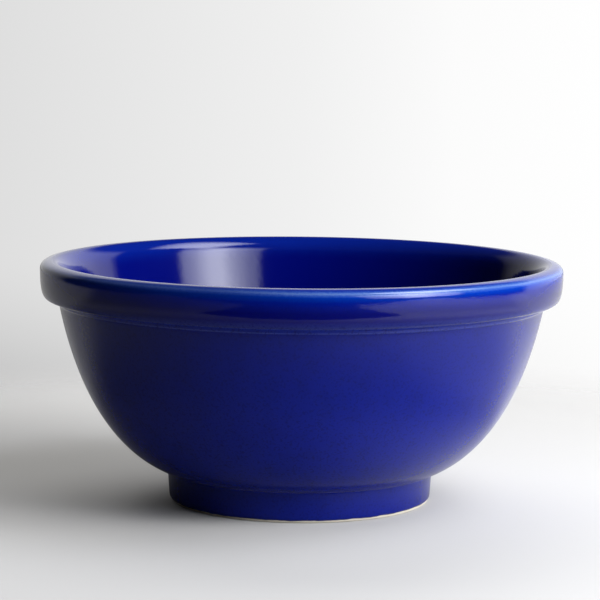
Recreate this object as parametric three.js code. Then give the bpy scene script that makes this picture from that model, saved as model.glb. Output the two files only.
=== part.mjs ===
// Footed stoneware salad bowl with a rolled collar, glazed cobalt blue inside and out.
// Millimetres, +Z up, origin at the centre of the standing ring on the table.
// Every piece is turned on the Z axis, so each is a closed outline revolved round it.

import * as THREE from 'three';

// Whole bowl, measured over the glaze
const rimDiameter = 260;
const overallHeight = 120;
const glazeThickness = 0.6;
const facetsRound = 48;

// Lip: the rounded inner half of the rim, up to the level crest
const lipThickness = 13; // widest point of the collar to the inside edge of the lip
const lipDrop = 7.5; // crest to where the lip runs into the inside
const crestWidth = 0.2;

// Collar rolled round the outside of the rim
const shoulderWidth = 6.3; // crest to the widest point, across
const shoulderDrop = 4.1; // crest to the widest point, down
const shoulderFullness = 0.65; // 0 is a bevel, 0.55 an even round, 1 a square corner
const collarHeight = 18.5; // crest to the corner where the underside meets the bead
const collarProjection = 9.45; // widest point out from the wall under the bead
const faceReach = 18.2; // pull of the upright face on the roll
const undersideReach = 3.3; // pull of the underside on the roll
const undersideRise = 13; // degrees that the underside climbs outwards
const coveReach = 1.25; // fillet in that corner
const beadHeight = 3.4; // that corner to the top of the wall
const beadProjection = 0.8;

// Wall: leaves the collar steeply, swells and runs in flatly to the foot
const wallRimAngle = 78.4; // degrees from level, under the collar
const wallRimReach = 61.4; // pull of that direction on the curve
const wallFootAngle = 18.5; // degrees from level, beside the foot
const wallFootReach = 15.5; // pull of that direction on the curve

// Inside: one sweep from the lip to the middle of the floor
const insideFlare = 13.5; // degrees from upright, at the lip
const insideFullness = 0.95; // 0 is a straight cone, 1 fills the corner most
const floorThickness = 8;

// Foot ring
const footDiameter = 132.9; // at the crease under the wall
const footHeight = 14.9; // table to the crease
const footTaper = 4; // degrees that the outer face leans in towards the table
const footInnerTaper = 4; // degrees that the inner face leans out towards the table
const footWidth = 9; // across the bare standing edge, outside to inside
const footEdgeRadius = 1.2;
const creaseReach = 1.6; // glazed fillets between the foot, the wall and the floor
const glazeLine = 1.8; // bare clay left at the foot, above the table

// Steps along each rounded stretch of an outline
const shoulderSteps = 4;
const rollSteps = 8;
const coveSteps = 2;
const beadSteps = 3;
const wallSteps = 8;
const lipSteps = 4;
const insideSteps = 10;
const filletSteps = 3;
const edgeSteps = 2;

const radians = THREE.MathUtils.degToRad;
const at = (radius, height) => new THREE.Vector2(radius, height);
const along = (start, degrees, reach) =>
  at(start.x + reach * Math.cos(radians(degrees)), start.y + reach * Math.sin(radians(degrees)));
const line = (from, to) => new THREE.LineCurve(from, to);
const bezier = (from, pullFrom, pullTo, to) => new THREE.CubicBezierCurve(from, pullFrom, pullTo, to);
const evenRound = 0.5523; // makes a quarter of a circle or an ellipse
const rounded = (from, corner, to, fullness = evenRound) =>
  bezier(from, from.clone().lerp(corner, fullness), to.clone().lerp(corner, fullness), to);

// Joins curves, each with its number of steps, into one run of points.
function trace(...stretches) {
  const points = [];
  for (const [curve, steps] of stretches) {
    const run = curve.getPoints(steps);
    points.push(...(points.length ? run.slice(1) : run));
  }
  return points;
}

// Moves a run of points sideways, to the right of its direction, keeping corners sharp.
// An end on the axis stays on it, because the outline meets its mirror image there.
function offset(points, distance) {
  const side = (from, to) => {
    const step = to.clone().sub(from).normalize();
    return at(step.y, -step.x);
  };
  const beyond = (end, neighbour) => (end.x === 0 ? at(-neighbour.x, neighbour.y) : neighbour);
  const sides = points.slice(1).map((point, i) => side(points[i], point));
  return points.map((point, i) => {
    const before = sides[i - 1] ?? beyond(point, sides[i]);
    const after = sides[i] ?? beyond(point, sides[i - 1]);
    const corner = before.clone().add(after);
    return point.clone().addScaledVector(corner, (2 * distance) / corner.lengthSq());
  });
}

// Cuts each four-sided facet along the same diagonal whichever way its outline runs, so that
// two pieces that share a stretch of outline touch there facet to facet.
function matchFacets(geometry, profile) {
  const { index } = geometry;
  for (let k = 0; k < index.count; k += 6) {
    const [a, b, d, c] = [0, 1, 2, 3].map((n) => index.getX(k + n));
    const from = profile[a % profile.length];
    const to = profile[d % profile.length];
    const rises = to.y > from.y || (to.y === from.y && to.x > from.x);
    if (rises) [a, b, c, a, c, d].forEach((vertex, n) => index.setX(k + n, vertex));
  }
}

// Revolves a closed outline, or one that starts and ends on the axis, round +Z.
function revolve(name, outline, material) {
  const profile = outline.map((point) => point.clone());
  const onAxis = profile[0].x === 0 && profile[profile.length - 1].x === 0;
  if (!onAxis) profile.push(profile[0].clone());
  if (THREE.ShapeUtils.area(profile) < 0) profile.reverse();
  const geometry = new THREE.LatheGeometry(profile, facetsRound);
  matchFacets(geometry, profile);
  geometry.rotateX(Math.PI / 2);
  const mesh = new THREE.Mesh(geometry, material);
  mesh.name = name;
  return mesh;
}

// A coat of glaze lies between the clay and the glazed surface over it.
const coat = (glazed, clay) => [...glazed, ...clay.slice().reverse()];

// Glazed inside, from the middle of the floor up over the lip to the end of the crest
const rimRadius = rimDiameter / 2;
const floorMiddle = at(0, footHeight + floorThickness);
const lipStart = at(rimRadius - lipThickness, overallHeight - lipDrop);
const insideLineAt = (height) =>
  at(lipStart.x + (height - lipStart.y) * Math.tan(radians(insideFlare)), height);
const inside = rounded(floorMiddle, insideLineAt(floorMiddle.y), lipStart, insideFullness);
const crestEnd = at(rimRadius - shoulderWidth, overallHeight);
const crestStart = at(crestEnd.x - crestWidth, overallHeight);
const lip = rounded(lipStart, insideLineAt(overallHeight), crestStart);
const crest = line(crestStart, crestEnd);
const insideRun = trace([inside, insideSteps], [lip, lipSteps], [crest, 1]);

// Glazed outside of the collar, from the crest down to the wall
const widest = at(rimRadius, overallHeight - shoulderDrop);
const shoulder = rounded(crestEnd, at(rimRadius, overallHeight), widest, shoulderFullness);
const wallTop = at(rimRadius - collarProjection, overallHeight - collarHeight - beadHeight);
const coveCorner = at(wallTop.x + beadProjection, wallTop.y + beadHeight);
const coveStart = along(coveCorner, undersideRise, coveReach);
const coveEnd = along(coveCorner, -90, coveReach);
const roll = bezier(widest, along(widest, -90, faceReach),
  along(coveStart, undersideRise, undersideReach), coveStart);
const cove = rounded(coveStart, coveCorner, coveEnd);
const beadPull = (coveEnd.y - wallTop.y) / 2;
const bead = bezier(coveEnd, along(coveEnd, -90, beadPull), along(wallTop, wallRimAngle, beadPull), wallTop);
const collarRun = trace([shoulder, shoulderSteps], [roll, rollSteps], [cove, coveSteps], [bead, beadSteps]);

// Glazed outside of the wall, from under the collar to the crease above the foot
const crease = at(footDiameter / 2, footHeight);
const land = along(crease, wallFootAngle, creaseReach);
const wall = bezier(wallTop, along(wallTop, wallRimAngle, -wallRimReach),
  along(land, wallFootAngle, wallFootReach), land);
const wallRun = trace([wall, wallSteps]);

// Glazed outside of the foot, from the crease down to the glaze line
const outerFaceAt = (height) =>
  at(footDiameter / 2 - (footHeight - height) * Math.tan(radians(footTaper)), height);
const faceTop = outerFaceAt(footHeight - creaseReach);
const footRun = trace([rounded(land, crease, faceTop), filletSteps],
  [line(faceTop, outerFaceAt(glazeLine)), 1]);

// The clay lies one coat under the glaze, from the floor over the rim and down to the glaze line.
const outsideRun = [...collarRun, ...wallRun.slice(1), ...footRun.slice(1)];
const clayRun = offset([...insideRun, ...outsideRun.slice(1)], glazeThickness);
const insideClay = clayRun.slice(0, insideRun.length);
const outsideClay = clayRun.slice(insideRun.length - 1);
const collarClay = outsideClay.slice(0, collarRun.length);
const wallClay = outsideClay.slice(collarRun.length - 1, collarRun.length + wallRun.length - 1);
const footClay = outsideClay.slice(-footRun.length);

// Glazed underside, from the middle of the floor to the glaze line inside the foot
const standingOuter = outerFaceAt(0).x - glazeThickness;
const standingInner = standingOuter - footWidth;
const innerFaceAt = (height) =>
  at(standingInner - glazeThickness - height * Math.tan(radians(footInnerTaper)), height);
const recessCorner = innerFaceAt(footHeight);
const recess = at(recessCorner.x - creaseReach, footHeight);
const innerTop = innerFaceAt(footHeight - creaseReach);
const undersideRun = trace([line(at(0, footHeight), recess), 1],
  [rounded(recess, recessCorner, innerTop), filletSteps], [line(innerTop, innerFaceAt(glazeLine)), 1]);
const undersideClay = offset(undersideRun, -glazeThickness);
const [seatMiddle, seatInner] = undersideClay;

// Bare standing edge of the foot, from the outer glaze line round to the inner one
const [outerFlat, innerFlat] = [at(standingOuter - footEdgeRadius, 0), at(standingInner + footEdgeRadius, 0)];
const outerEdge = rounded(at(standingOuter, footEdgeRadius), at(standingOuter, 0), outerFlat);
const innerEdge = rounded(innerFlat, at(standingInner, 0), at(standingInner, footEdgeRadius));
const standingEdge = trace([outerEdge, edgeSteps], [line(outerFlat, innerFlat), 1], [innerEdge, edgeSteps]);

const stoneware = () => new THREE.MeshStandardMaterial({ color: 0xd8ccb6, roughness: 0.85, metalness: 0 });
const cobaltGlaze = (color, roughness) => new THREE.MeshStandardMaterial({ color, roughness, metalness: 0 });

const bowl = new THREE.Group();
bowl.name = 'salad_bowl';

// Clay: the collar backs on to the wall, and the foot is seated under its floor.
bowl.add(
  revolve('bowl_wall', [...insideClay, ...wallClay, seatInner, seatMiddle], stoneware()),
  revolve('rim_collar', collarClay, stoneware()),
  revolve('foot_ring', [...footClay, ...standingEdge, ...undersideClay.slice(1).reverse()], stoneware()),
);

// Glaze: three coats, fired on to the clay
bowl.add(
  revolve('inside_glaze', coat(insideRun, insideClay), cobaltGlaze(0x0e1280, 0.1)),
  revolve('outside_glaze', coat(outsideRun, outsideClay), cobaltGlaze(0x1c2292, 0.35)),
  revolve('underside_glaze', coat(undersideRun, undersideClay), cobaltGlaze(0x1c2292, 0.35)),
);

export default bowl;
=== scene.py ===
import math

import bmesh
import bpy
from mathutils import Matrix, Vector, noise
from mathutils.geometry import interpolate_bezier


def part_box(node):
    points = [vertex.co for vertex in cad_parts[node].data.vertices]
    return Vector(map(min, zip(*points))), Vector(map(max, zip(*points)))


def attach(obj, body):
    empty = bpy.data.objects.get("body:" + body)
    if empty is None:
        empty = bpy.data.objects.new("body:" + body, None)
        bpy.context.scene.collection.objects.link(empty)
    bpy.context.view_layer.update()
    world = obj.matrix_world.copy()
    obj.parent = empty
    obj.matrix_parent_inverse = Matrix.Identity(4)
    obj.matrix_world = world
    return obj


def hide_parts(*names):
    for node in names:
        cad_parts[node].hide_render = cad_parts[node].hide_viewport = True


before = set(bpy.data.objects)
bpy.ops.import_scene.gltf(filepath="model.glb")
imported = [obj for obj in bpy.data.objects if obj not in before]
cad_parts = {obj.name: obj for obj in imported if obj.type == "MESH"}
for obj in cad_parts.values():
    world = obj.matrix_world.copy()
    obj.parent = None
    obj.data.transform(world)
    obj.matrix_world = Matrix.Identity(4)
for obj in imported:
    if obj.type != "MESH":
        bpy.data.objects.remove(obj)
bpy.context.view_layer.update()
scene = bpy.context.scene
mm = 0.001
print("frame loaded:", sorted(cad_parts))

# Camera at the photograph's viewing angle
cameraSetup = {
    "aside": -0.00068,
    "distance": 1.2,
    "height": 0.24525,
    "pitchDegrees": 6.908,
    "rollDegrees": 0.582,
    "lens": 145.06,
    "sensor": 36,
}


def placeCamera(setup):
    data = bpy.data.cameras.new("camera")
    data.lens = setup["lens"]
    data.sensor_width = setup["sensor"]
    camera = bpy.data.objects.new("camera", data)
    scene.collection.objects.link(camera)
    pitch = Matrix.Rotation(math.radians(90 - setup["pitchDegrees"]), 4, "X")
    roll = Matrix.Rotation(math.radians(setup["rollDegrees"]), 4, "Z")
    stand = Matrix.Translation((setup["aside"], -setup["distance"], setup["height"]))
    camera.matrix_world = stand @ pitch @ roll
    scene.camera = camera


placeCamera(cameraSetup)
print("camera placed")

# Overall sizes, read from the solids so that the looks stay on them
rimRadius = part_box("outside_glaze")[1].x
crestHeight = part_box("inside_glaze")[1].z
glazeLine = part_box("outside_glaze")[0].z
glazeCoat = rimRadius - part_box("rim_collar")[1].x
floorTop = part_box("inside_glaze")[0].z + glazeCoat
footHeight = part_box("underside_glaze")[1].z - glazeCoat

straightDown = -90  # degrees
evenRound = 0.5523  # fullness of a turn that is a quarter of an ellipse
touching = 1e-6     # metres: nearer points are one, and this near to the axis is on it


# Outlines are runs of points in the XZ plane, turned round Z afterwards
def at(radius, height):
    return Vector((radius, 0, height))


def along(start, degrees, reach):
    angle = math.radians(degrees)
    return start + Vector((math.cos(angle), 0, math.sin(angle))) * reach


def sweep(start, startPull, endPull, end, steps):
    return interpolate_bezier(start, startPull, endPull, end, steps + 1)


def roundTurn(start, corner, end, steps, fullness=evenRound):
    return sweep(start, start.lerp(corner, fullness), end.lerp(corner, fullness), end, steps)


def straight(start, end, steps):
    return [start.lerp(end, i / steps) for i in range(steps + 1)]


def joined(*runs):
    points = list(runs[0])
    for run in runs[1:]:
        points += run[1:]
    return points


def sunk(points, depth):
    # the same run moved to the right of its direction, with mitred corners
    sides = []
    for here, there in zip(points, points[1:]):
        step = (there - here).normalized()
        sides.append(Vector((step.z, 0, -step.x)))
    moved = []
    for i, point in enumerate(points):
        before = sides[max(i - 1, 0)]
        after = sides[min(i, len(sides) - 1)]
        if point.x < touching:  # an end on the axis stays there
            before = after = Vector((0, 0, math.copysign(1, before.z)))
        corner = before + after
        moved.append(point + corner * (2 * depth / corner.length_squared))
    return moved


# Glazed outside: collar, wall and foot, from the crest down to the glaze line
outsideShape = {
    "shoulderWidth": 6.3 * mm,
    "shoulderDrop": 4.1 * mm,
    "shoulderFullness": 0.65,
    "shoulderSteps": 18,
    "collarHeight": 18.5 * mm,
    "collarProjection": 9.45 * mm,
    "faceReach": 18.2 * mm,
    "undersideReach": 3.3 * mm,
    "undersideDegrees": 13,
    "rollSteps": 34,
    "coveReach": 1.9 * mm,
    "coveSteps": 8,
    "beadHeight": 3.4 * mm,
    "beadProjection": 0.8 * mm,
    "beadSteps": 10,
    "wallRimDegrees": 78.4,
    "wallRimReach": 61.4 * mm,
    "wallFootDegrees": 18.5,
    "wallFootReach": 15.5 * mm,
    "wallSteps": 60,
    "creaseReach": 0.7 * mm,
    "creaseSteps": 8,
    "footRadius": 66.45 * mm,
    "taperDegrees": 4,
    "footSteps": 24,
}


def collarOutline(shape):
    crestEnd = at(rimRadius - shape["shoulderWidth"], crestHeight)
    widest = at(rimRadius, crestHeight - shape["shoulderDrop"])
    shoulder = roundTurn(crestEnd, at(rimRadius, crestHeight), widest,
                         shape["shoulderSteps"], shape["shoulderFullness"])
    wallTop = at(rimRadius - shape["collarProjection"],
                 crestHeight - shape["collarHeight"] - shape["beadHeight"])
    coveCorner = wallTop + Vector((shape["beadProjection"], 0, shape["beadHeight"]))
    coveStart = along(coveCorner, shape["undersideDegrees"], shape["coveReach"])
    coveEnd = along(coveCorner, straightDown, shape["coveReach"])
    roll = sweep(widest, along(widest, straightDown, shape["faceReach"]),
                 along(coveStart, shape["undersideDegrees"], shape["undersideReach"]), coveStart,
                 shape["rollSteps"])
    cove = roundTurn(coveStart, coveCorner, coveEnd, shape["coveSteps"])
    beadPull = (coveEnd.z - wallTop.z) / 2
    bead = sweep(coveEnd, along(coveEnd, straightDown, beadPull),
                 along(wallTop, shape["wallRimDegrees"], beadPull), wallTop, shape["beadSteps"])
    return joined(shoulder, roll, cove, bead)


def wallOutline(shape, wallTop):
    land = along(at(shape["footRadius"], footHeight), shape["wallFootDegrees"], shape["creaseReach"])
    return sweep(wallTop, along(wallTop, shape["wallRimDegrees"], -shape["wallRimReach"]),
                 along(land, shape["wallFootDegrees"], shape["wallFootReach"]), land, shape["wallSteps"])


def footOutline(shape, land):
    lean = math.tan(math.radians(shape["taperDegrees"]))
    crease = at(shape["footRadius"], footHeight)
    faceTop = crease - Vector((lean, 0, 1)) * shape["creaseReach"]
    edge = crease - Vector((lean, 0, 1)) * (footHeight - glazeLine)
    return joined(roundTurn(land, crease, faceTop, shape["creaseSteps"]),
                  straight(faceTop, edge, shape["footSteps"]))


# Glazed inside, from the middle of the floor to the end of the crest
insideShape = {
    "lipThickness": 13 * mm,
    "lipDrop": 7.5 * mm,
    "lipSteps": 18,
    "crestWidth": 0.2 * mm,
    "flareDegrees": 13.5,
    "fullness": 0.95,
    "wallSteps": 70,
}


def insideOutline(shape, crestEnd):
    lipStart = at(rimRadius - shape["lipThickness"], crestHeight - shape["lipDrop"])
    slope = math.tan(math.radians(shape["flareDegrees"]))
    floorCorner = at(lipStart.x - slope * (lipStart.z - floorTop), floorTop)
    lipCorner = at(lipStart.x + slope * shape["lipDrop"], crestHeight)
    crestStart = crestEnd - Vector((shape["crestWidth"], 0, 0))
    return joined(roundTurn(at(0, floorTop), floorCorner, lipStart, shape["wallSteps"], shape["fullness"]),
                  roundTurn(lipStart, lipCorner, crestStart, shape["lipSteps"]),
                  [crestStart, crestEnd])


# Glazed underside and the bare standing edge of the foot
undersideShape = {
    "taperDegrees": 4,
    "faceSteps": 14,
    "creaseReach": 1.6 * mm,
    "creaseSteps": 8,
    "standingWidth": 9 * mm,
    "standingSteps": 3,
    "edgeRadius": 1.2 * mm,
    "edgeSteps": 6,
}


def undersideOutline(shape, standingInner):
    lean = math.tan(math.radians(shape["taperDegrees"]))
    corner = at(standingInner - glazeCoat - lean * footHeight, footHeight)
    recess = corner - Vector((shape["creaseReach"], 0, 0))
    faceTop = corner + Vector((lean, 0, -1)) * shape["creaseReach"]
    faceFoot = corner + Vector((lean, 0, -1)) * (footHeight - glazeLine)
    return joined([at(0, footHeight), recess],
                  roundTurn(recess, corner, faceTop, shape["creaseSteps"]),
                  straight(faceTop, faceFoot, shape["faceSteps"]))


def standingEdge(shape, outerRadius, innerRadius):
    edge = shape["edgeRadius"]
    outer = roundTurn(at(outerRadius, edge), at(outerRadius, 0), at(outerRadius - edge, 0),
                      shape["edgeSteps"])
    inner = roundTurn(at(innerRadius + edge, 0), at(innerRadius, 0), at(innerRadius, edge),
                      shape["edgeSteps"])
    return joined(outer, straight(outer[-1], inner[0], shape["standingSteps"]), inner)


collar = collarOutline(outsideShape)
wall = wallOutline(outsideShape, collar[-1])
foot = footOutline(outsideShape, wall[-1])
outside = joined(collar, wall, foot)
inside = insideOutline(insideShape, collar[0])

# the clay lies one coat under the glaze
clayRun = sunk(joined(inside, outside), glazeCoat)
insideClay = clayRun[:len(inside)]
outsideClay = clayRun[len(inside) - 1:]
collarClay = outsideClay[:len(collar)]
wallClay = outsideClay[len(collar) - 1:len(collar) + len(wall) - 1]
footClay = outsideClay[-len(foot):]

standingOuter = footClay[-1].x - glazeLine * math.tan(math.radians(outsideShape["taperDegrees"]))
standingInner = standingOuter - undersideShape["standingWidth"]
standing = standingEdge(undersideShape, standingOuter, standingInner)
underside = undersideOutline(undersideShape, standingInner)
undersideClay = sunk(underside, -glazeCoat)
seatMiddle, seatInner = undersideClay[:2]  # the foot is luted on outside seatInner

# Hand-made unevenness of the glazed surfaces, always inwards, and of the coat's lower edge
glazeForm = {
    "waveDepth": 0.07 * mm,
    "waveLength": 26 * mm,
    "fadeSteps": 5,         # points at each end of a coat over which the waves fade out
    "edgeSteps": 3,         # last points of the outside coat, which round off to the clay
    "edgeThinning": 0.9,
    "edgeLow": 0.95 * mm,   # height of the lower edge on the left
    "edgeHigh": 1.45 * mm,  # and on the right
    "edgeRagged": 0.25 * mm,
    "edgeReach": 4 * mm,    # how far up the foot the edge pulls the coat with it
    "broadTeeth": 9,
    "fineTeeth": 31,
    "fineShare": 0.6,
}
roundSteps = 224            # facets round every piece


def rolledEdge(skin, clay, form):
    # thins the last points of a coat down to the clay in a round edge
    count = form["edgeSteps"]
    for i in range(count):
        share = (i + 1) / count
        place = len(skin) - count + i
        thinned = form["edgeThinning"] * (1 - math.sqrt(1 - share * share))
        skin[place] = skin[place].lerp(clay[place], thinned)


def turned(name, outline, skinCount=0):
    # an outline, closed or with both ends on the axis, spun into a closed body
    bm = bmesh.new()
    skin = bm.verts.layers.float.new("skin")
    verts = [bm.verts.new(point) for point in outline]
    fadeSteps = glazeForm["fadeSteps"]
    for i in range(skinCount):  # the glazed surface, fading to nothing at its ends
        verts[i][skin] = min(1, i / fadeSteps, (skinCount - 1 - i) / fadeSteps)
    pairs = list(zip(verts, verts[1:]))
    if outline[0].x > touching or outline[-1].x > touching:
        pairs.append((verts[-1], verts[0]))
    edges = [bm.edges.new(pair) for pair in pairs]
    bmesh.ops.spin(bm, geom=verts + edges, cent=(0, 0, 0), axis=(0, 0, 1), angle=math.tau,
                   steps=roundSteps, use_merge=True, use_duplicate=False)
    bmesh.ops.remove_doubles(bm, verts=bm.verts[:], dist=touching)
    bmesh.ops.recalc_face_normals(bm, faces=bm.faces[:])
    bm.normal_update()
    dents = []
    for vert in bm.verts:
        share = vert[skin]
        wave = 0.5 + 0.5 * noise.noise(vert.co / glazeForm["waveLength"])
        dents.append(vert.normal * (-share * wave * glazeForm["waveDepth"]))
    for vert, dent in zip(bm.verts, dents):
        vert.co += dent
    mesh = bpy.data.meshes.new(name)
    bm.to_mesh(mesh)
    bm.free()
    mesh.shade_smooth()
    piece = bpy.data.objects.new(name, mesh)
    scene.collection.objects.link(piece)
    return piece


def unevenEdge(piece, form):
    # moves the coat's lower edge up and down along the foot's leaning face
    lean = math.tan(math.radians(outsideShape["taperDegrees"]))
    for vert in piece.data.vertices:
        share = 1 - (vert.co.z - glazeLine) / form["edgeReach"]
        if share <= 0:
            continue
        outward = Vector((vert.co.x, vert.co.y, 0)).normalized()
        fine = noise.noise(outward * form["fineTeeth"])
        ragged = noise.noise(outward * form["broadTeeth"]) + form["fineShare"] * fine
        edge = form["edgeLow"] + (form["edgeHigh"] - form["edgeLow"]) * (0.5 + 0.5 * outward.x)
        edge += form["edgeRagged"] * ragged
        rise = (edge - glazeLine) * share
        vert.co += Vector((0, 0, rise)) + outward * (rise * lean)


rolledEdge(outside, outsideClay, glazeForm)
thrownWall = turned("thrownWall", insideClay + wallClay + [seatInner, seatMiddle])
rolledCollar = turned("rolledCollar", collarClay)
turnedFoot = turned("turnedFoot", footClay + standing + undersideClay[:0:-1])
insideCoat = turned("insideCoat", inside + insideClay[::-1], len(inside))
outsideCoat = turned("outsideCoat", outside + outsideClay[::-1], len(outside))
undersideCoat = turned("undersideCoat", underside + undersideClay[::-1])
unevenEdge(outsideCoat, glazeForm)
print("six pieces turned")


# Shader sums: a Wire is a socket, and arithmetic on it adds Math nodes
class Wire:
    def __init__(self, graph, socket):
        self.graph = graph
        self.socket = socket

    def __add__(self, other):
        return self.graph.math("ADD", self, other)

    def __radd__(self, other):
        return self.graph.math("ADD", other, self)

    def __sub__(self, other):
        return self.graph.math("SUBTRACT", self, other)

    def __rsub__(self, other):
        return self.graph.math("SUBTRACT", other, self)

    def __mul__(self, other):
        return self.graph.math("MULTIPLY", self, other)

    def __rmul__(self, other):
        return self.graph.math("MULTIPLY", other, self)

    def __truediv__(self, other):
        return self.graph.math("DIVIDE", self, other)

    def __rtruediv__(self, other):
        return self.graph.math("DIVIDE", other, self)

    def output(self, name):  # another output of the same node
        return Wire(self.graph, self.socket.node.outputs[name])


class Graph:
    def __init__(self, owner):
        owner.use_nodes = True
        self.tree = owner.node_tree

    def fill(self, node, values):
        for key, value in values.items():
            if isinstance(value, Wire):
                self.tree.links.new(value.socket, node.inputs[key])
            else:
                node.inputs[key].default_value = value

    def node(self, kind, settings=None, values=None, output=0):
        node = self.tree.nodes.new(kind)
        for key, value in (settings or {}).items():
            if key == "stops":
                ramp = node.color_ramp.elements
                while len(ramp) < len(value):
                    ramp.new(1)
                for stop, (place, colour) in zip(ramp, value):
                    stop.position = place
                    stop.color = colour if isinstance(colour, tuple) else grey(colour)
            else:
                setattr(node, key, value)
        self.fill(node, values or {})
        return Wire(self, node.outputs[output])

    def math(self, operation, *values):
        return self.node("ShaderNodeMath", {"operation": operation}, dict(enumerate(values)))

    def ramp(self, stops, level):
        return self.node("ShaderNodeValToRGB", {"stops": stops}, {0: level})

    def ease(self, value, low, high):  # 0 at low, 1 at high
        return self.node("ShaderNodeMapRange", {"interpolation_type": "SMOOTHSTEP"},
                         {"Value": value, "From Min": low, "From Max": high})

    def blend(self, factor, first, second):  # colours
        return self.node("ShaderNodeMix", {"data_type": "RGBA"}, {0: factor, 6: first, 7: second}, output=2)

    def parted(self, place, axes):  # its parts along the named axes
        parts = self.node("ShaderNodeSeparateXYZ", {}, {0: place})
        return [parts.output(axis) for axis in axes]

    def noise(self, place, scale, detail):
        return self.node("ShaderNodeTexNoise", {}, {"Vector": place, "Scale": scale, "Detail": detail})

    def wander(self, place, waves):  # to both sides of zero; each wave is a size, scale and detail
        return sum(size * (self.noise(place, scale, detail) - 0.5) for size, scale, detail in waves)

    def mottle(self, place, share, scale, detail, low, high):  # patches where the noise is high
        return share * self.ease(self.noise(place, scale, detail), low, high)

    def peel(self, place, waves, depth):  # a faint orange peel
        height = self.wander(place, waves)
        return self.node("ShaderNodeBump", {}, {"Height": height, "Distance": depth, "Strength": 1.0})


def grey(level):
    return (level, level, level, 1)


def newFinish(name, constants):
    # a material whose constant values are already on the shader's sockets
    material = bpy.data.materials.new(name)
    graph = Graph(material)
    shader = material.node_tree.nodes["Principled BSDF"]
    graph.fill(shader, constants)
    return material, graph, shader


def placeInMm(graph):
    here = graph.node("ShaderNodeTexCoord", output="Object")
    return graph.node("ShaderNodeVectorMath", {"operation": "SCALE"}, {0: here, "Scale": 1 / mm})


# Cobalt glaze of the inside: deep and glossy, thinner and brighter over the lip.
# Pairs of heights, here and below, are mm above the table where a change starts and ends.
insideGlaze = {
    "deep": (0.0004, 0.0023, 0.122, 1),
    "thin": (0.0005, 0.0105, 0.192, 1),
    "thinning": (108.0, 119.0),
    "uneven": [(3.0, 0.12, 2.0)],
    "peel": [(1.0, 0.35, 1.0)],
    "peelDepth": 0.02 * mm,
    "ior": 1.46,
    "roughness": 0.09,
}


def insideFinish(look):
    material, graph, shader = newFinish("glossCobalt", {"IOR": look["ior"], "Roughness": look["roughness"]})
    place = placeInMm(graph)
    height = graph.parted(place, "Z")[0]
    thin = graph.ease(height + graph.wander(place, look["uneven"]), *look["thinning"])
    colour = graph.blend(thin, look["deep"], look["thin"])
    peel = graph.peel(place, look["peel"], look["peelDepth"])
    graph.fill(shader, {"Base Color": colour, "Normal": peel})
    return material


# Cobalt glaze of the outside: glossy on the collar and satin below it, finely specked;
# it hangs thick and dark in the roll and breaks to a milky line on the shoulder; its light lines at the bead
# are painted reflection
outsideGlaze = {
    # the foot's darker blue is painted shade under the wall's overhang
    "foot": (0.0008, 0.0075, 0.182, 1),
    "lowWall": (0.0009, 0.0097, 0.252, 1),
    # the wall darkens upwards to the collar: painted shade under the collar's overhang
    "shadedHighWall": (0.0007, 0.0066, 0.172, 1),
    "footToWall": (13.5, 15.5),
    "lowToHigh": (20.0, 96.0),
    "wallToCollar": (97.0, 98.5),
    # the collar's colours by height in mm, from the wall under the bead to the shoulder: the stops to 98.6
    # carry on the painted shade of the upper wall, the pale stops at 99.1 and 101.5 and the lighter ones at
    # 102.2 and 104.0 are painted reflections of the floor, and those at 99.7 and 100.8 are painted light on
    # the bead's upward face
    "byHeight": [(97.0, (0.0007, 0.0066, 0.172, 1)), (98.6, (0.0008, 0.0072, 0.18, 1)),
                 (99.1, (0.028, 0.046, 0.28, 1)), (99.7, (0.001, 0.0105, 0.22, 1)),
                 (100.8, (0.001, 0.0125, 0.24, 1)), (101.5, (0.04, 0.062, 0.3, 1)),
                 (102.2, (0.014, 0.024, 0.19, 1)), (104.0, (0.008, 0.012, 0.14, 1)),
                 (105.2, (0.0004, 0.0012, 0.103, 1)), (109.0, (0.0004, 0.0012, 0.1, 1)),
                 (114.0, (0.0004, 0.0075, 0.19, 1)), (116.4, (0.0007, 0.026, 0.28, 1)),
                 (117.4, (0.022, 0.07, 0.33, 1)), (118.1, (0.08, 0.15, 0.39, 1)),
                 (118.8, (0.022, 0.07, 0.33, 1)), (119.4, (0.002, 0.019, 0.26, 1))],
    "uneven": [(0.9, 0.8, 3.0), (0.8, 2.4, 1.0)],
    "calm": 0.3,                    # share of that unevenness under the roll
    "calmEnd": (102.0, 104.5),
    "leftSide": (-45.0, 15.0),      # mm across: all left of the first, none right of the second
    "climb": 0.5,                   # mm that the shoulder's line climbs on the left
    "climbStart": (108.0, 114.0),
    "shadedLeftShoulder": (0.0006, 0.013, 0.16, 1),
    "leftShadeShare": 0.65,              # of this painted shade on the left, the side away from the lamps
    "leftStart": (114.0, 117.5),
    "speck": (0.0007, 0.0035, 0.1, 1),
    "specks": (0.55, 0.9, 2.0, 0.52, 0.66),
    "clouds": (0.2, 0.12, 3.0, 0.45, 0.75),
    "speckEnd": (110.0, 115.0),
    "peel": [(1.0, 0.6, 2.0), (0.3, 1.6, 1.0)],
    "peelDepth": 0.02 * mm,
    "ior": 1.5,
    "collarRoughness": 0.07,
    "wallRoughness": 0.2,
    "satinEnd": (96.5, 100.5),
    "sheen": 0.08,
    "sheenRoughness": 0.3,
}


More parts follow.
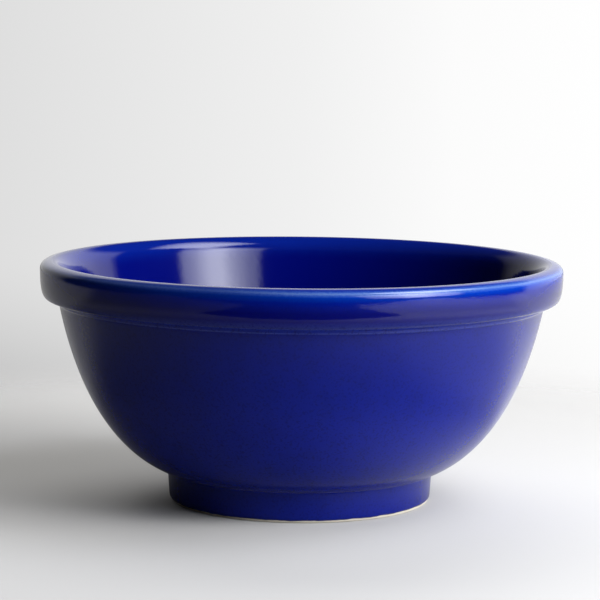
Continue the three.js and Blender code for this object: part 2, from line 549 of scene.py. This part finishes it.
def outsideFinish(look):
    material, graph, shader = newFinish("satinCobalt", {
        "IOR": look["ior"], "Sheen Weight": look["sheen"], "Sheen Roughness": look["sheenRoughness"]})
    place = placeInMm(graph)
    aside, height = graph.parted(place, "XZ")
    leftward = 1 - graph.ease(aside, *look["leftSide"])

    # wall and foot
    onWall = graph.blend(graph.ease(height, *look["lowToHigh"]), look["lowWall"], look["shadedHighWall"])
    onWall = graph.blend(graph.ease(height, *look["footToWall"]), look["foot"], onWall)

    # collar, whose lines run unevenly
    calm = look["calm"]
    uneven = graph.wander(place, look["uneven"]) * (calm + (1 - calm) * graph.ease(height, *look["calmEnd"]))
    climb = look["climb"] * leftward * graph.ease(height, *look["climbStart"])
    lowest = look["byHeight"][0][0]
    highest = crestHeight / mm
    stops = [((rise - lowest) / (highest - lowest), colour) for rise, colour in look["byHeight"]]
    onCollar = graph.ramp(stops, (height + uneven - climb - lowest) / (highest - lowest))
    # painted shade over the left of the shoulder
    leftShade = look["leftShadeShare"] * leftward * graph.ease(height, *look["leftStart"])
    onCollar = graph.blend(leftShade, onCollar, look["shadedLeftShoulder"])

    colour = graph.blend(graph.ease(height, *look["wallToCollar"]), onWall, onCollar)
    specked = graph.mottle(place, *look["specks"]) + graph.mottle(place, *look["clouds"])
    specked = specked * (1 - graph.ease(height, *look["speckEnd"]))
    colour = graph.blend(specked, colour, look["speck"])
    satin = 1 - graph.ease(height, *look["satinEnd"])
    roughness = look["collarRoughness"] + (look["wallRoughness"] - look["collarRoughness"]) * satin
    peel = graph.peel(place, look["peel"], look["peelDepth"])
    graph.fill(shader, {"Base Color": colour, "Roughness": roughness, "Normal": peel})
    return material


# Bare fired clay
bareClay = {
    "cream": (0.66, 0.6, 0.5, 1),
    "grog": (0.48, 0.39, 0.29, 1),
    "grit": (0.5, 2.2, 3.0, 0.55, 0.7),
    "roughness": 0.85,
}


def clayFinish(look):
    material, graph, shader = newFinish("bareStoneware", {"Roughness": look["roughness"]})
    grit = graph.mottle(placeInMm(graph), *look["grit"])
    graph.fill(shader, {"Base Color": graph.blend(grit, look["cream"], look["grog"])})
    return material


bareStoneware = clayFinish(bareClay)
glossCobalt = insideFinish(insideGlaze)
satinCobalt = outsideFinish(outsideGlaze)

for piece, node, slot, finish in (
        (thrownWall, "bowl_wall", "stoneware", bareStoneware),
        (rolledCollar, "rim_collar", "stoneware", bareStoneware),
        (turnedFoot, "foot_ring", "stoneware", bareStoneware),
        (insideCoat, "inside_glaze", "gloss_cobalt_glaze", glossCobalt),
        (outsideCoat, "outside_glaze", "satin_cobalt_glaze", satinCobalt),
        (undersideCoat, "underside_glaze", "satin_cobalt_glaze", satinCobalt)):
    piece.data.materials.append(finish)
    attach(piece, "root")
    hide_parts(node)
print("finishes given")

# Studio: soft boxes on the right and overhead, a pale sweep behind, a dark room in front
scene.view_settings.view_transform = "Standard"

# azimuths run from +Y towards +X, seen from the point that the boxes face; the fades are stops
# of brightness across a box from its right edge to its left, and from its top edge down
facedPoint = Vector((0, 0, 0.09))
softBoxes = {
    "window": {"azimuth": 132.5, "elevation": 21.5, "distance": 1.2, "width": 1.02, "height": 1.04,
               "radiance": 12.5, "colour": (1, 1.02, 1.09),
               "across": [(0.0, 0.0), (0.06, 0.2), (0.18, 0.31), (0.34, 0.6), (0.47, 1.0), (0.6, 0.95),
                          (0.79, 0.49), (0.93, 0.3), (1.0, 0.0)],
               "down": [(0.0, 0.0), (0.08, 0.35), (0.2, 0.9), (0.4, 1.0), (1.0, 0.6)]},
    "skylight": {"azimuth": 100.5, "elevation": 56, "distance": 1.0, "width": 0.7, "height": 0.5,
                 "radiance": 10.2, "colour": (1, 1.02, 1.09),
                 "across": [(0.0, 0.2), (0.1, 0.65), (0.25, 1.0), (0.5, 0.9), (0.7, 0.64), (0.86, 0.38),
                            (1.0, 0.0)],
                 "down": [(0.0, 0.3), (0.3, 1.0), (0.8, 1.0), (1.0, 0.6)]},
    "sideFill": {"azimuth": 92, "elevation": 16, "distance": 1.5, "width": 0.8, "height": 0.6,
                 "radiance": 7, "colour": (1, 1, 1)},
    "floorFill": {"azimuth": -5, "elevation": 40, "distance": 1.8, "width": 2.0, "height": 2.0,
                  "radiance": 3.7, "colour": (1.02, 1, 0.96)},
    "floorKey": {"azimuth": 117, "elevation": 22, "distance": 1.5, "width": 0.8, "height": 0.5,
                 "radiance": 25.5, "colour": (1.02, 1, 0.96)},
}


def heading(azimuth, elevation):
    around = math.radians(azimuth)
    up = math.radians(elevation)
    return Vector((math.sin(around) * math.cos(up), math.cos(around) * math.cos(up), math.sin(up)))


def fadeSoftBox(lamp, box):
    graph = Graph(lamp)
    spot = graph.node("ShaderNodeNewGeometry", output="Parametric")
    fromRight, fromFoot = graph.parted(spot, "XY")
    fade = graph.ramp(box["across"], fromRight) * graph.ramp(box["down"], 1 - fromFoot)
    graph.fill(lamp.node_tree.nodes["Emission"], {"Strength": fade})


def hangSoftBox(name, box):
    away = heading(box["azimuth"], box["elevation"])
    lamp = bpy.data.lights.new(name, "AREA")
    lamp.shape = "RECTANGLE"
    lamp.size = box["width"]
    lamp.size_y = box["height"]
    lamp.energy = box["radiance"] * math.pi * lamp.size * lamp.size_y
    lamp.color = box["colour"]
    if "across" in box:
        fadeSoftBox(lamp, box)
    holder = bpy.data.objects.new(name, lamp)
    holder.location = facedPoint + away * box["distance"]
    holder.rotation_euler = away.to_track_quat("Z", "Y").to_euler()
    holder.visible_camera = False
    scene.collection.objects.link(holder)
    return holder


lamps = {name: hangSoftBox(name, box) for name, box in softBoxes.items()}

surroundings = {
    # what surrounds the bowl, by azimuth: 0 and 1 straight in front, 0.5 straight behind
    "sweep": [(0.0, 0.002), (0.3, 0.005), (0.34, 0.01), (0.36, 0.22), (0.385, 0.36), (0.42, 0.45),
              (0.5, 0.85), (0.55, 1.08), (0.6, 1.2), (0.63, 1.3), (0.68, 1.25), (0.695, 0.01), (1.0, 0.002)],
    "sweepTop": (0.42, 0.56),
    "above": 0.04,
    # the backdrop that the camera sees, with painted light paler to the right towards the lamps, and painted
    # shade darker low down on the left
    "shown": [(0.0, 0.735), (0.5, 0.872), (0.75, 0.97), (1.0, 1.0)],
    "shownSpread": 4,
    "shownLow": (0.1, 0.18),
    "darkenMiddle": 0.18,
    "darkenSlope": 1.1,
    "darkenLeft": 0.33,     # at most
    "darkenRight": 0.03,    # at least
}


def buildWorld(look):
    world = bpy.data.worlds.new("studio")
    scene.world = world
    graph = Graph(world)
    toward = graph.node("ShaderNodeTexCoord", output="Generated")
    aside, ahead, up = graph.parted(toward, "XYZ")
    turn = graph.math("ARCTAN2", aside, ahead) / math.tau + 0.5
    around = graph.blend(graph.ease(up, *look["sweepTop"]), graph.ramp(look["sweep"], turn),
                         grey(look["above"]))
    shown = graph.ramp(look["shown"], aside * look["shownSpread"] + 0.5)
    darkening = graph.math("MAXIMUM", look["darkenMiddle"] - look["darkenSlope"] * aside, look["darkenRight"])
    darkening = graph.math("MINIMUM", darkening, look["darkenLeft"])
    # painted shade low down on the left of the backdrop
    shown = shown * (1 - graph.ease(0 - up, *look["shownLow"]) * darkening)
    direct = graph.node("ShaderNodeLightPath", output="Is Camera Ray")
    graph.fill(world.node_tree.nodes["Background"], {"Color": graph.blend(direct, around, shown)})


buildWorld(surroundings)


def flatSheet(name, left, right, front, back, height):
    bm = bmesh.new()
    corners = ((left, front), (right, front), (right, back), (left, back))
    bm.faces.new([bm.verts.new((x, y, height)) for x, y in corners])
    mesh = bpy.data.meshes.new(name)
    bm.to_mesh(mesh)
    bm.free()
    sheet = bpy.data.objects.new(name, mesh)
    scene.collection.objects.link(sheet)
    return sheet


floorLook = {
    "extent": {"left": -1.0, "right": 0.9, "front": -0.72, "back": 3.5, "height": 0},
    "albedo": 0.375,        # as the camera sees it
    "fade": (0.28, 0.5),    # distances over which it runs out into the backdrop for the camera
    # albedo for the light that the bowl gets back, by metres to the right of bouncedFrom: painted shade,
    # darker to the left
    "bounced": [(0.0, 0.13), (0.58, 0.16), (0.7, 0.21), (0.8, 0.3), (0.9, 0.38), (1.0, 0.43)],
    "bouncedFrom": -0.7,
    # shares of it that reflections show: by distance, with at least rightShare on the right; painted shade,
    # dimmer near the bowl
    "mirrored": [(0.13, 0.42), (0.18, 0.32), (0.24, 0.38), (0.3, 0.55), (0.4, 0.85), (0.55, 0.58)],
    "rightSide": (0.03, 0.2),
    "rightShare": 0.55,
    # beside the foot, where the bowl's own shadow lies on the left
    "nearEnd": (0.08, 0.17),
    "nearSide": (-0.01, 0.09),
    "nearLeft": 0.35,
    "nearRight": 1.0,
    # and behind the bowl, as shares of the albedo that the camera sees: painted shade, darker on the left
    "behindStart": (0.0, 0.15),
    "behindSide": (-0.12, 0.12),
    "behindLeft": 0.6,
    "behindRight": 1.05,
}


def floorFinish(look):
    material = bpy.data.materials.new("paleFloor")
    graph = Graph(material)
    material.node_tree.nodes.remove(material.node_tree.nodes["Principled BSDF"])
    where = graph.node("ShaderNodeTexCoord", output="Object")
    aside, ahead = graph.parted(where, "XY")
    reach = graph.node("ShaderNodeVectorMath", {"operation": "LENGTH"}, {0: where}, output="Value")
    seen = graph.node("ShaderNodeLightPath", output="Is Camera Ray")

    def bySide(zone):  # its share, which changes from the left to the right
        left = look[zone + "Left"]
        right = look[zone + "Right"]
        return left + (right - left) * graph.ease(aside, *look[zone + "Side"])

    # painted shade: bounced light and reflections see the floor darker on the left and near the bowl than the
    # camera does
    bounced = graph.ramp(look["bounced"], aside - look["bouncedFrom"])
    share = graph.math("MAXIMUM", graph.ramp(look["mirrored"], reach),
                       look["rightShare"] * graph.ease(aside, *look["rightSide"]))
    share = graph.blend(graph.ease(reach, *look["nearEnd"]), bySide("near"), share)
    mirrored = graph.blend(graph.ease(ahead, *look["behindStart"]), bounced * share,
                           bySide("behind") * look["albedo"])
    unseen = graph.blend(seen.output("Is Glossy Ray"), bounced, mirrored)
    albedo = graph.blend(seen, unseen, grey(look["albedo"]))
    matt = graph.node("ShaderNodeBsdfDiffuse", {}, {"Color": albedo})
    clear = graph.node("ShaderNodeBsdfTransparent")
    fade = graph.ease(reach, *look["fade"]) * seen
    shade = graph.node("ShaderNodeMixShader", {}, {0: fade, 1: matt, 2: clear})
    graph.fill(material.node_tree.nodes["Material Output"], {"Surface": shade})
    return material


floor = flatSheet("floor", **floorLook["extent"])
floor.data.materials.append(floorFinish(floorLook))

# two of the lamps light the floor alone, and one lights the bowl without being mirrored
floorAlone = bpy.data.collections.new("floorAlone")
floorAlone.objects.link(floor)
for name in ("floorFill", "floorKey"):
    lamps[name].light_linking.receiver_collection = floorAlone
lamps["sideFill"].visible_glossy = False

# a dark sheet on the table towards the camera, which only the glaze mirrors: a painted dark reflection of the
# unlit room in front
darkSheetLook = {
    "extent": {"left": -0.28, "right": 0.28, "front": -0.75, "back": -0.345, "height": 0.5 * mm},
    "black": grey(0.004),
    "roughness": 1,
}
darkSheet = flatSheet("paintedDarkSheet", **darkSheetLook["extent"])
paintedDarkReflection = newFinish("paintedDarkReflection", {
    "Base Color": darkSheetLook["black"], "Roughness": darkSheetLook["roughness"]})[0]
darkSheet.data.materials.append(paintedDarkReflection)
darkSheet.visible_camera = False
darkSheet.visible_diffuse = False
darkSheet.visible_shadow = False
print("studio lit")
